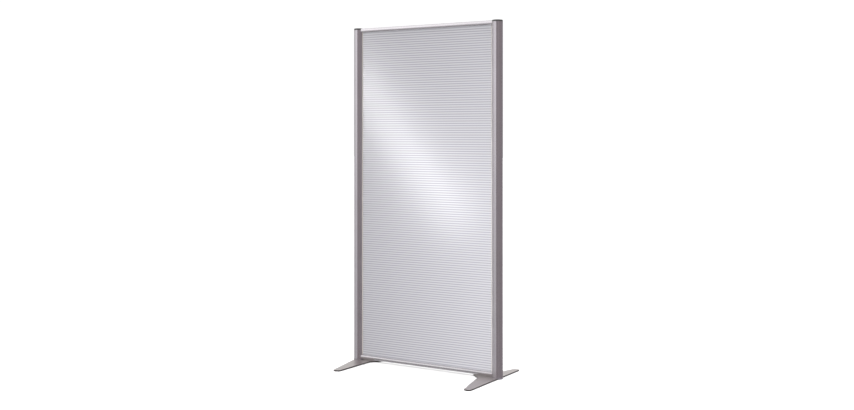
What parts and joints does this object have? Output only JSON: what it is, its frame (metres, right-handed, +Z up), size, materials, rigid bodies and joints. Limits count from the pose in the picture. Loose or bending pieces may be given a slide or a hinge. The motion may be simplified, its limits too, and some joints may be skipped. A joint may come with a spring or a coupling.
{
  "type": "free-standing partition screen",
  "caption": "Tall free-standing partition: a fluted twin-wall polycarbonate sheet between round slotted aluminium posts and slim rails, on flat steel feet that swivel.",
  "frame": {"origin": "on the floor, in the middle of the space that the screen and its feet take up", "axes": "+Z up along the posts; X along the screen, with +X to the right seen from its front; -Y to the front"},
  "size_m": [0.8582, 0.482, 1.65],
  "materials": {
    "anodised_aluminium": "satin natural anodised, extruded",
    "cover_strip": "satin natural anodised strip",
    "polycarbonate": "translucent twin-wall sheet, glossy skins",
    "glazing_rubber": "soft grey extrusion",
    "edge_seal": "milky soft plastic extrusion",
    "cap_plastic": "moulded, fine grain",
    "washer_plastic": "moulded grey nylon",
    "coated_steel": "silver powder coat",
    "die_cast_zinc": "as cast",
    "zinced_steel": "bright zinc plated",
    "pad_rubber": "matt"
  },
  "bodies": {
    "frame": {"bottom_rail": "anodised_aluminium", "top_rail": "anodised_aluminium", "left_post": "anodised_aluminium", "right_post": "anodised_aluminium", "fluted_sheet": "polycarbonate", "bottom_glazing_strip": "glazing_rubber", "top_glazing_strip": "glazing_rubber", "left_post_cap": "cap_plastic", "left_rear_slot_cover": "cover_strip", "left_outer_slot_cover": "cover_strip", "left_front_slot_cover": "cover_strip", "left_sheet_edge_seal": "edge_seal", "left_foot_bolt": "zinced_steel", "left_bottom_rail_screw": "zinced_steel", "left_top_rail_screw": "zinced_steel", "left_bottom_rail_connector": "die_cast_zinc", "left_top_rail_connector": "die_cast_zinc", "right_post_cap": "cap_plastic", "right_rear_slot_cover": "cover_strip", "right_outer_slot_cover": "cover_strip", "right_front_slot_cover": "cover_strip", "right_sheet_edge_seal": "edge_seal", "right_foot_bolt": "zinced_steel", "right_bottom_rail_screw": "zinced_steel", "right_top_rail_screw": "zinced_steel", "right_bottom_rail_connector": "die_cast_zinc", "right_top_rail_connector": "die_cast_zinc"},
    "left_foot": {"left_foot_plate": "coated_steel", "left_swivel_washer": "washer_plastic", "left_front_floor_pad": "pad_rubber", "left_rear_floor_pad": "pad_rubber", "left_lobe_floor_pad": "pad_rubber"},
    "right_foot": {"right_foot_plate": "coated_steel", "right_swivel_washer": "washer_plastic", "right_front_floor_pad": "pad_rubber", "right_rear_floor_pad": "pad_rubber", "right_lobe_floor_pad": "pad_rubber"}
  },
  "joints": [
    {"name": "left_foot_swivel", "type": "hinge", "parent": "frame", "child": "left_foot", "pos_m": [-0.37588, 0.04, 0.0065], "axis": [0, 0, 1], "range_deg": [-102, 78]},
    {"name": "right_foot_swivel", "type": "hinge", "parent": "frame", "child": "right_foot", "pos_m": [0.40412, 0.04, 0.0065], "axis": [0, 0, 1], "range_deg": [-90, 90]}
  ]
}
